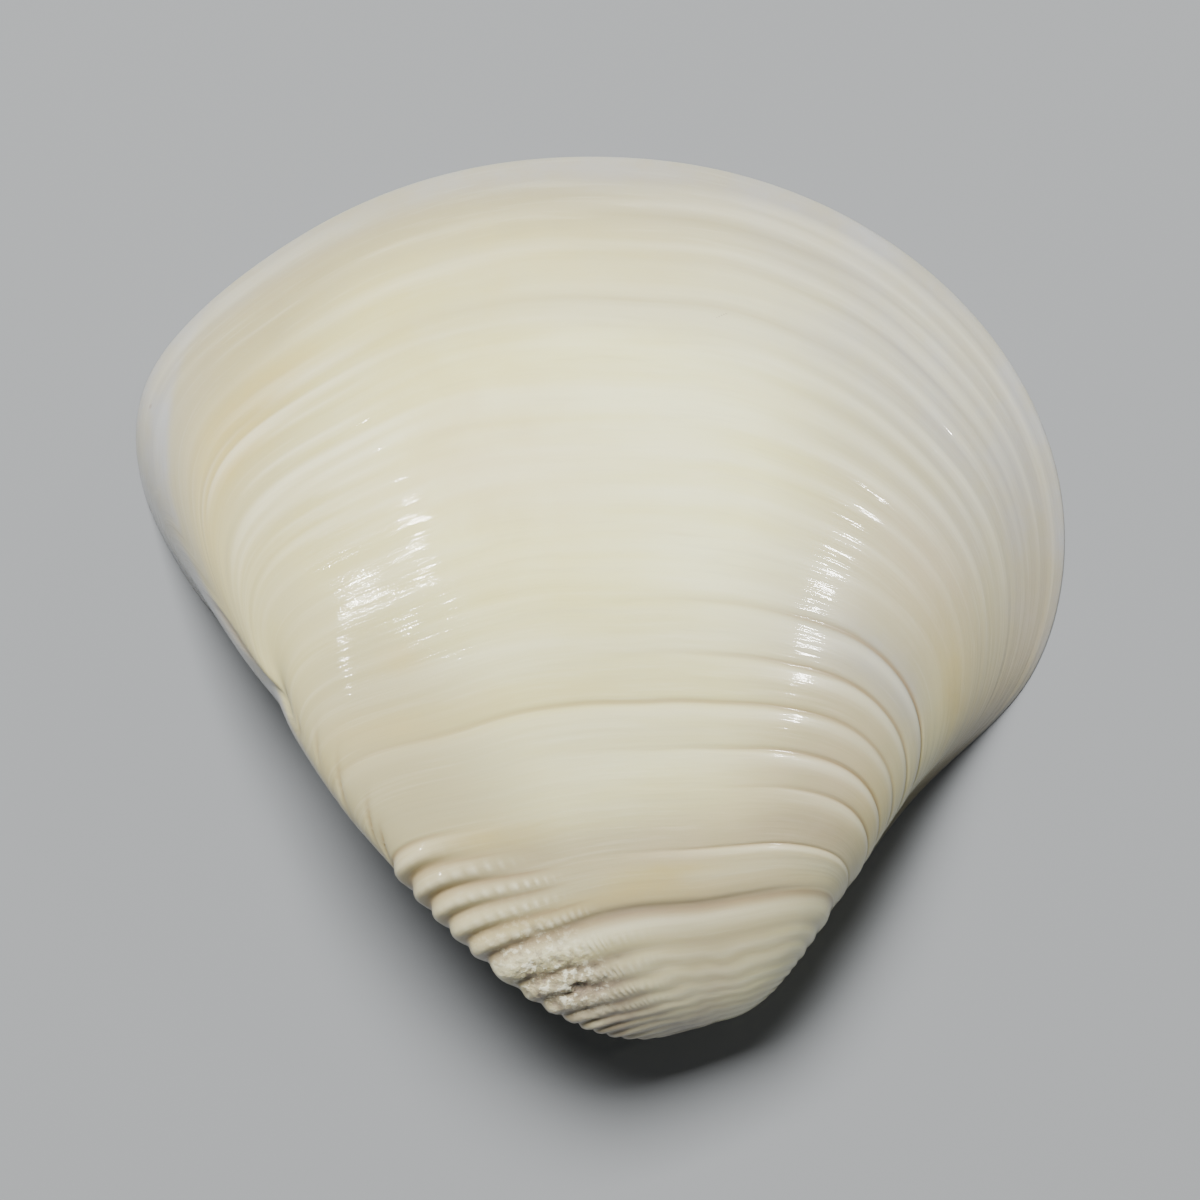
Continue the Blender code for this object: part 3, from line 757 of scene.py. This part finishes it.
# The whole valve as one closed skin: beak, outside, rim, lip, hinge plate and hollow.
def makeValve():
    columns = columnDirections()
    fineColumns = halfwayBetween(columns)
    count = len(columns)
    ringAges = outsideAges()
    age, direction = np.meshgrid(ringAges, columns, indexing="ij")

    # The first ring starts where the rounding of the edge ends.
    small = 1e-3
    rise = smoothOutside(columns, small) - smoothOutside(columns, np.zeros(count))
    speed = np.linalg.norm(rise, axis=-1) / small
    start = np.clip(underside["edgeRadius"] / speed, 0, 0.12)
    age = age + start * np.clip(1 - age / 0.4, 0, 1) ** 2
    height, shade, masks = outsideRelief(direction, age)
    height = height * easeStep(age - start, 0, 0.03)
    outside = smoothOutside(direction, age) + outsideNormals(direction, age) * height[..., None]
    print("outside worked out")

    cornerX, cornerY = outline(columns, 0, 0, 0)
    corner = np.stack([cornerX, cornerY, np.zeros(count)], axis=-1)
    lipStart = lipAndPlate(columns, np.zeros(count))
    # The rounded edge is a curve of the second degree from the outside to the lip.
    turn = np.linspace(0, 1, grid["edgeRings"] + 2)[1:-1, None, None]
    edge = (1 - turn) ** 2 * outside[0] + 2 * turn * (1 - turn) * corner + turn ** 2 * lipStart

    share = underside["lipShare"]
    onLip, onPlate = np.linspace(0, share, grid["lipRings"]), np.linspace(share, 1, grid["plateRings"] + 1)
    across = np.concatenate([onLip, onPlate[1:]])
    acrossGrid, fineDirection = np.meshgrid(across, fineColumns, indexing="ij")
    plate = lipAndPlate(fineDirection, acrossGrid)
    hollowAges = (np.linspace(0, 1, grid["hollowRings"] + 1)[1:] ** 1.15) * underside["oldestAge"]
    hollowAge, hollowDirection = np.meshgrid(hollowAges, columns, indexing="ij")
    inner = hollow(hollowDirection, hollowAge)
    line, within, scar, scarEdge = hollowMarks(inner)
    inner[..., 2] += (0.05 * line + 0.05 * scar) * np.exp(-0.5 * hollowAge)
    print("underside worked out")

    beak = outside[-1].mean(axis=0)[None]
    deepest = inner[-1].mean(axis=0)[None]
    blocks = [beak, outside[::-1].reshape(-1, 3), edge.reshape(-1, 3), plate.reshape(-1, 3),
              inner.reshape(-1, 3), deepest]
    sizes = np.cumsum([0] + [len(block) for block in blocks])
    outsideStart, plateStart, innerStart, last = sizes[[1, 3, 4, 5]]
    coarseRings = outsideStart + count * np.arange(len(ringAges) + len(edge))
    plateRings = plateStart + 2 * count * np.arange(len(across))
    innerRings = innerStart + count * np.arange(len(hollowAges))
    quads = []
    for rings, size in ((coarseRings, count), (plateRings, 2 * count), (innerRings, count)):
        quads += [bandFaces(a, b, size) for a, b in zip(rings, rings[1:])]
    i = np.arange(count)
    j = (i + 1) % count
    beakFan = np.stack([np.zeros(count, int), outsideStart + i, outsideStart + j], axis=1)
    deepFan = np.stack([innerRings[-1] + j, innerRings[-1] + i, np.full(count, last)], axis=1)
    triangles = np.concatenate([beakFan, splitFaces(coarseRings[-1], plateRings[0], count, True),
                                splitFaces(innerRings[0], plateRings[-1], count, False), deepFan])
    quads = np.concatenate(quads)
    points = np.concatenate(blocks) * mm

    masks.update(outsideColours(direction, age))
    # The painted shade of the grooves joins the grime.
    masks["grimeAndPaintedShade"] = np.clip(masks["grimeAndPaintedShade"] + shade, 0, 1)
    masks["lines"] = 1 - 0.55 * easeStep(age, 0.8, 1.1)

    # Spreads one value per outside vertex over the whole skin, with one value for each other block.
    def everywhere(onOutside, onEdge, onPlate, onInner):
        ringLast = onOutside[-1].mean()
        edgeValue = np.broadcast_to(onEdge, edge.shape[:2]).ravel()
        plateValue = np.broadcast_to(onPlate, plate.shape[:2]).ravel()
        innerValue = np.broadcast_to(onInner, inner.shape[:2]).ravel()
        return np.concatenate([[ringLast], onOutside[::-1].ravel(), edgeValue, plateValue, innerValue,
                               [innerValue[-1]]])

    # Place in the grain: the direction turns on a circle of 14 times the size, and the distance is Z.
    def grainPlace(direction, distance, size=1.0):
        turn, radius = np.radians(direction), 14 * size
        return np.stack([radius * np.cos(turn), radius * np.sin(turn), distance], axis=-1).reshape(-1, 3)

    edgeDistance, edgeDirection = np.meshgrid(np.linspace(-0.05, -0.3, len(edge)), columns, indexing="ij")
    inward = -4 - growthDistance(hollowAge) * 0.9
    grain = np.concatenate([grainPlace(np.array([0.0]), growthDistance(ringAges[-1:]), 0),
                            grainPlace(direction[::-1], growthDistance(age[::-1]), np.exp(-age[::-1])),
                            grainPlace(edgeDirection, edgeDistance),
                            grainPlace(fineDirection, -0.3 - 2 * acrossGrid),
                            grainPlace(hollowDirection, inward, np.exp(-hollowAge)),
                            grainPlace(np.array([0.0]), np.array([-30.0]), 0)])
    backEnd = 0.8 * swell(hollowDirection, 165, 30) * np.exp(-hollowAge / 0.5)
    elsewhere = {  # on the rounded edge, on the lip and the plate, and in the hollow
        "blue": (0.9, 0.5, backEnd + 0.3 * np.exp(-hollowAge / 0.2)),
        "dullAndPaintedShade": (0.4, 0.2, 0.2),
        "lines": (0.5, 0.2, 0.3),
        "inside": (0, 1, 1),
        "mark": (0, 0, np.maximum(line, scarEdge)),
        "satin": (0, 0, np.maximum(within * 0.6, scar)),
    }
    values = {"grain": grain}
    none = np.zeros_like(age)
    for title in {**masks, **elsewhere}:
        values[title] = everywhere(masks.get(title, none), *elsewhere.get(title, (0, 0, 0)))
    made = surfaceObject("valve_skin", points, quads, triangles, values)
    print("valve made:", 2 * len(quads) + len(triangles), "triangles")
    return made


# What a user would change about the shell's finish: colours are linear red, green and blue, and the
# rows of threads, stains, crests, grooves and eroded give a mask, its strength and a colour.
shellFinish = {
    "cream": (0.750, 0.725, 0.340),
    "milk": (0.810, 0.810, 0.500),
    "bone": (0.860, 0.850, 0.660),
    "tan": (0.505, 0.400, 0.140),
    "bluish": (0.350, 0.360, 0.390),
    "pinkish": (0.600, 0.490, 0.330),
    "straw": (0.640, 0.590, 0.190),
    # The dull tone is the colour of the painted shade, and of the dull threads.
    "dullAndPaintedShade": (0.368, 0.330, 0.190),
    "groove": (0.260, 0.165, 0.060),
    # Grime and painted shade share this colour.
    "grimeAndPaintedShade": (0.230, 0.180, 0.140),
    "inside": (0.800, 0.780, 0.740),
    "milkyFrom": (0.55, 0.95),  # noise where cream turns milky
    "threads": ((0.50, 0.70, 0.12, "dullAndPaintedShade"), (0.48, 0.28, 0.13, "bone")),  # noise from and to, strength
    "blotches": (0.55, 1.15),
    "stains": (("straw", 0.60, "straw"), ("pink", 0.55, "pinkish"), ("tan", 0.66, "tan"),
               ("blue", 0.75, "bluish")),
    "insideShare": 0.75,
    "crests": ((0.42, "bone"), (-0.30, "tan")),
    "grooves": (("tint", 0.80, "groove"), ("grimeAndPaintedShade", 0.75, "grimeAndPaintedShade"), ("pits", 0.55, "grimeAndPaintedShade"),
                ("mark", 0.5, "pinkish")),
    "eroded": ((0.52, 0.62, 0.75, "bone"), (0.45, 0.33, 0.75, "grimeAndPaintedShade")),
    "specks": (  # place, radius and strength
        (3.40, -0.42, 8.4, 0.075, 0.9), (1.85, 2.39, 7.95, 0.11, 0.35), (-15.52, 6.45, 0.9, 0.10, 0.5),
        (3.92, 9.33, 4.13, 0.035, 0.5), (4.00, 9.37, 4.09, 0.035, 0.6), (4.08, 9.41, 4.04, 0.035, 0.7),
        (4.16, 9.44, 4.00, 0.035, 0.6), (4.24, 9.47, 3.96, 0.035, 0.5),
    ),
    "noises": {  # stretch along the grain, or None for the object's own space; scale, detail, roughness
        "bands": ((0.05, 0.05, 0.9), 1.0, 4.0, 0.6),
        "threads": ((0.22, 0.22, 5.5), 1.0, 3.0, 0.6),
        "striae": ((0.12, 0.12, 2.4), 1.0, 3.0, 0.68),
        "clouds": (None, 170.0, 3.0, 0.5),
        "blotch": (None, 420.0, 4.0, 0.6),
        "eroded": (None, 3600.0, 3.0, 0.65),
        "grit": (None, 9000.0, 2.0, 0.5),
    },
    "roughness": (0.34, 0.48),
    "erodedRoughness": 0.25,
    "scarRoughness": -0.08,
    "striaeDepth": 0.000065,  # depths are metres
    "striaeUnderGloss": 0.25,  # share of that depth that also shades the colour below
    "gritDepth": 0.0000012,
    "erodedDepth": 0.00012,
}


# Adds a node beside the ones before it, in rows of ten.
def addNode(tree, kind):
    count = len(tree.nodes)
    node = tree.nodes.new(kind)
    node.location = (200 * (count % 10) - 2400, 260 * (count // 10) - 900)
    return node


# Gives an input a socket, a number or a colour.
def feed(tree, socket, value):
    if isinstance(value, bpy.types.NodeSocket):
        tree.links.new(value, socket)
    else:
        socket.default_value = (*value, 1) if isinstance(value, tuple) else value


# Mixes two colours by a mask.
def mixColour(tree, mask, first, second):
    node = addNode(tree, "ShaderNodeMix")
    node.data_type = "RGBA"
    for socket, value in ((0, mask), (6, first), (7, second)):
        feed(tree, node.inputs[socket], value)
    return node.outputs[2]


# A sum or product of two values.
def maths(tree, operation, first, second, clamp=False):
    node = addNode(tree, "ShaderNodeMath")
    node.operation = operation
    node.use_clamp = clamp
    feed(tree, node.inputs[0], first)
    feed(tree, node.inputs[1], second)
    return node.outputs[0]


# A value or a place that the mesh carries on its points.
def pointValue(tree, title, output="Fac"):
    node = addNode(tree, "ShaderNodeAttribute")
    node.attribute_name = title
    return node.outputs[output]


# Fractal noise from 0 to 1, with its middle near a half. A small stretch draws the pattern out.
def noise(tree, vector, stretch, scale, detail, roughness):
    if stretch is not None:
        mapping = addNode(tree, "ShaderNodeMapping")
        mapping.inputs["Scale"].default_value = stretch
        tree.links.new(vector, mapping.inputs["Vector"])
        vector = mapping.outputs["Vector"]
    node = addNode(tree, "ShaderNodeTexNoise")
    for title, value in (("Vector", vector), ("Scale", scale), ("Detail", detail), ("Roughness", roughness)):
        feed(tree, node.inputs[title], value)
    return node.outputs["Fac"]


# Smooth step from one range of values to another.
def remapped(tree, value, low, high, newLow, newHigh):
    node = addNode(tree, "ShaderNodeMapRange")
    node.interpolation_type = "SMOOTHSTEP"
    for socket, given in zip(node.inputs, (value, low, high, newLow, newHigh)):
        feed(tree, socket, given)
    return node.outputs[0]


# One bump on top of another: the height in metres is the distance times the input.
def bumpOn(tree, height, distance, below=None):
    node = addNode(tree, "ShaderNodeBump")
    node.inputs["Distance"].default_value = distance
    tree.links.new(height, node.inputs["Height"])
    if below is not None:
        tree.links.new(below, node.inputs["Normal"])
    return node.outputs["Normal"]


# Shell: cream and milky bands along the growth lines, stains, grooves, painted shade and painted light from
# the point values, and a bump of fine growth lines that breaks the gloss into dashes.
def shellMaterial():
    finish = shellFinish
    material = bpy.data.materials.new("shell_gloss")
    material.use_nodes = True
    tree = material.node_tree
    surface = tree.nodes["Principled BSDF"]
    objectPlace = addNode(tree, "ShaderNodeTexCoord").outputs["Object"]
    grain = pointValue(tree, "grain", "Vector")

    def namedNoise(title):
        stretch, *rest = finish["noises"][title]
        return noise(tree, objectPlace if stretch is None else grain, stretch, *rest)

    def times(value, factor, clamp=False):
        return maths(tree, "MULTIPLY", value, factor, clamp)

    # Lays a named colour over the colour so far, as strongly as the mask says.
    def lay(colour, mask, name):
        return mixColour(tree, mask, colour, finish[name])

    clouds = namedNoise("clouds")
    banded = maths(tree, "ADD", namedNoise("bands"), times(clouds, 0.5))
    milky = remapped(tree, banded, *finish["milkyFrom"], 0.0, 1.0)
    colour = mixColour(tree, milky, finish["cream"], finish["milk"])
    # Painted shade: the colour darkened towards the dull tone as far as the mask says, and left paler where
    # painted light is.
    colour = lay(colour, pointValue(tree, "dullAndPaintedShade"), "dullAndPaintedShade")
    threads = namedNoise("threads")
    for low, high, strength, name in finish["threads"]:
        colour = lay(colour, remapped(tree, threads, low, high, 0.0, strength), name)
    blotch = remapped(tree, namedNoise("blotch"), 0.3, 0.7, *finish["blotches"])
    for title, strength, name in finish["stains"]:
        mask = times(pointValue(tree, title), blotch)
        colour = lay(colour, times(mask, strength, True), name)
    colour = lay(colour, times(pointValue(tree, "inside"), finish["insideShare"]), "inside")
    # Bleached crests, with painted highlights on the lips and painted light in the middle band.
    crest = pointValue(tree, "crest")
    for strength, name in finish["crests"]:
        colour = lay(colour, times(crest, strength, True), name)
    # Brown in the grooves, grime and painted shade, dark pits and pinkish marks.
    for title, strength, name in finish["grooves"]:
        mask = times(pointValue(tree, title), strength, True)
        if title == "grimeAndPaintedShade":
            mask = times(mask, blotch, True)
        colour = lay(colour, mask, name)
    eroded = namedNoise("eroded")
    rough = pointValue(tree, "rough")
    for low, high, strength, name in finish["eroded"]:
        mask = remapped(tree, eroded, low, high, 0.0, strength)
        colour = lay(colour, times(mask, rough, True), name)
    for x, y, z, radius, strength in finish["specks"]:
        gap = addNode(tree, "ShaderNodeVectorMath")
        gap.operation = "DISTANCE"
        gap.inputs[1].default_value = (x * mm, y * mm, z * mm)
        tree.links.new(objectPlace, gap.inputs[0])
        spot = remapped(tree, gap.outputs["Value"], radius * 0.5 * mm, radius * 1.3 * mm, strength, 0.0)
        colour = lay(colour, spot, "grimeAndPaintedShade")
    tree.links.new(colour, surface.inputs["Base Color"])

    lines = times(namedNoise("striae"), pointValue(tree, "lines"))
    depth, share = finish["striaeDepth"], finish["striaeUnderGloss"]
    normal = bumpOn(tree, lines, depth * share)
    normal = bumpOn(tree, namedNoise("grit"), finish["gritDepth"], normal)
    normal = bumpOn(tree, times(eroded, rough), finish["erodedDepth"], normal)
    tree.links.new(normal, surface.inputs["Normal"])
    tree.links.new(bumpOn(tree, lines, depth * (1 - share), normal), surface.inputs["Coat Normal"])

    sheen = remapped(tree, clouds, 0.3, 0.7, *finish["roughness"])
    sheen = maths(tree, "ADD", sheen, times(rough, finish["erodedRoughness"]))
    satin = times(pointValue(tree, "satin"), finish["scarRoughness"])
    tree.links.new(maths(tree, "ADD", sheen, satin, True), surface.inputs["Roughness"])
    surface.inputs["IOR"].default_value = 1.55
    surface.inputs["Specular IOR Level"].default_value = 0.5
    surface.inputs["Subsurface Weight"].default_value = 0.18
    surface.inputs["Subsurface Radius"].default_value = (1.0, 0.75, 0.5)
    surface.inputs["Subsurface Scale"].default_value = 0.0008
    surface.inputs["Coat Weight"].default_value = 0.80
    surface.inputs["Coat Roughness"].default_value = 0.07
    return material


valve = makeValve()
valve.data.materials.append(shellMaterial())
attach(valve, "root")
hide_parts("left_valve")
print("valve finished")

# The studio: a plain pale floor, two windows that only shine, a soft box that only lights, and a pale
# sky. Angles are degrees and sizes metres.
studio = {
    "floorSize": 1.2,
    "floorDrop": 0.00002,  # keeps the floor clear of the flat lip
    "floorColour": (0.215, 0.225, 0.240),
    "sky": (0.90, 0.92, 0.95),
    "skyStrength": 0.11,
    "lampColour": (1.0, 0.985, 0.94),
    "lamps": (  # name, direction, height, distance, the panel's width and height, watts, what it does
        ("window_left", 126.5, 50.5, 0.60, 0.005, 0.045, 0.40, "shine"),
        ("window_right", 18, 39, 0.60, 0.032, 0.080, 1.8, "shine"),
        ("soft_box", 106, 58, 0.70, 0.30, 0.30, 15.5, "fill"),
    ),
    "cameraPlace": (-0.031, -0.219, 200.0),  # millimetres, as the frame's width is
    "frameWidth": 41.47,
    "sensorWidth": 36,
}


# A square just below the lip.
def makeFloor():
    half = studio["floorSize"] / 2
    corners = [(-half, -half, 0), (half, -half, 0), (half, half, 0), (-half, half, 0)]
    mesh = bpy.data.meshes.new("floor")
    mesh.from_pydata(corners, [], [(0, 1, 2, 3)])
    mesh.transform(Matrix.Translation((0, 0, -studio["floorDrop"])))
    floor = bpy.data.objects.new("floor", mesh)
    bpy.context.scene.collection.objects.link(floor)
    material = bpy.data.materials.new("pale_floor")
    material.use_nodes = True
    surface = material.node_tree.nodes["Principled BSDF"]
    surface.inputs["Base Color"].default_value = (*studio["floorColour"], 1)
    surface.inputs["Roughness"].default_value = 0.85
    mesh.materials.append(material)


# Turns a lamp's own -Z towards its target.
def pointAt(item, place, target):
    item.location = place
    item.rotation_euler = (Vector(target) - Vector(place)).to_track_quat("-Z", "Y").to_euler()


# Each panel stands at its distance from the valve: cosines and sines of the two angles give the place.
def makeLights():
    for name, around, up, distance, width, height, watts, task in studio["lamps"]:
        lamp = bpy.data.lights.new(name, "AREA")
        lamp.shape = "RECTANGLE"
        lamp.size, lamp.size_y, lamp.energy = width, height, watts
        lamp.color = studio["lampColour"]
        made = bpy.data.objects.new(name, lamp)
        bpy.context.scene.collection.objects.link(made)
        made.visible_diffuse = task != "shine"
        made.visible_glossy = task != "fill"
        a, e = math.radians(around), math.radians(up)
        towards = Vector((math.cos(e) * math.cos(a), math.cos(e) * math.sin(a), math.sin(e)))
        pointAt(made, distance * towards, (0, 0, 4 * mm))
    world = bpy.data.worlds.new("pale_sky")
    world.use_nodes = True
    background = world.node_tree.nodes["Background"]
    background.inputs["Color"].default_value = (*studio["sky"], 1)
    background.inputs["Strength"].default_value = studio["skyStrength"]
    bpy.context.scene.world = world


# Focal length: sensor width times the camera's height over the width that the picture shows.
def makeCamera():
    camera = bpy.data.cameras.new("camera")
    camera.sensor_width = studio["sensorWidth"]
    camera.lens = studio["sensorWidth"] * studio["cameraPlace"][2] / studio["frameWidth"]
    camera.clip_start = 0.01
    made = bpy.data.objects.new("camera", camera)
    bpy.context.scene.collection.objects.link(made)
    made.location = [value * mm for value in studio["cameraPlace"]]
    bpy.context.scene.camera = made


makeFloor()
makeLights()
makeCamera()
print("studio ready")
